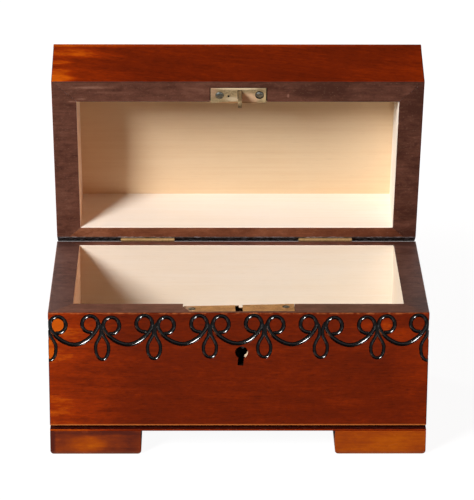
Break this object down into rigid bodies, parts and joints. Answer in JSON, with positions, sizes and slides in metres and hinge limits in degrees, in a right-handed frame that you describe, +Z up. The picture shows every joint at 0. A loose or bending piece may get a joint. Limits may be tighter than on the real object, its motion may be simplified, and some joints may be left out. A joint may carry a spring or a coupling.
{
  "type": "wooden keepsake box",
  "caption": "Small rectangular wooden keepsake box with a hinged lid standing open on its stop, a mortised box lock with hook and bolt, a carved scroll border and corner feet.",
  "frame": {"origin": "on the ground, under the middle of the box with its lid open", "axes": "+X to the right along the front, +Y from the front to the back, +Z up"},
  "size_m": [0.2, 0.1434, 0.1951],
  "materials": {
    "lacquered_wood": "stained red-brown and varnished to a gloss",
    "foot_wood": "stained orange-brown with dark edges, glossy varnish",
    "brass": "worn plain brass sheet",
    "steel": "dull zinc-plated steel",
    "spring_steel": "dark hardened spring strip"
  },
  "bodies": {
    "box_body": {"front_panel": "lacquered_wood", "back_panel": "lacquered_wood", "left_panel": "lacquered_wood", "right_panel": "lacquered_wood", "bottom_board": "lacquered_wood", "foot_front_left": "foot_wood", "foot_front_right": "foot_wood", "foot_back_left": "foot_wood", "foot_back_right": "foot_wood", "lock_plate": "brass", "lock_case": "brass", "lock_guide_stud_left": "brass", "lock_guide_stud_right": "brass", "lock_spring": "spring_steel", "lock_key_pin": "steel", "lock_rim_screw_left": "steel", "lock_rim_screw_right": "steel", "lock_inside_screw_left": "steel", "lock_inside_screw_right": "steel", "hinge_left_body_leaf": "brass", "hinge_right_body_leaf": "brass", "hinge_left_pin": "brass", "hinge_right_pin": "brass", "hinge_left_body_screw_left": "steel", "hinge_left_body_screw_right": "steel", "hinge_right_body_screw_left": "steel", "hinge_right_body_screw_right": "steel"},
    "lid": {"lid_front_panel": "lacquered_wood", "lid_back_panel": "lacquered_wood", "lid_left_panel": "lacquered_wood", "lid_right_panel": "lacquered_wood", "lid_top_board": "lacquered_wood", "hinge_left_lid_leaf": "brass", "hinge_right_lid_leaf": "brass", "hinge_left_lid_screw_left": "steel", "hinge_left_lid_screw_right": "steel", "hinge_right_lid_screw_left": "steel", "hinge_right_lid_screw_right": "steel", "strike_plate": "brass", "strike_hook": "brass", "strike_screw_left": "steel", "strike_screw_right": "steel"},
    "lock_bolt_slide": {"lock_bolt": "brass"}
  },
  "joints": [
    {"name": "lid_hinge", "type": "hinge", "parent": "box_body", "child": "lid", "pos_m": [0, 0.03657, 0.08135], "axis": [1, 0, 0], "range_deg": [0, 72]},
    {"name": "lock_bolt_throw", "type": "slide", "parent": "box_body", "child": "lock_bolt_slide", "axis": [0.9999, 0, 0.0105], "range_m": [0, 0.0045]}
  ]
}
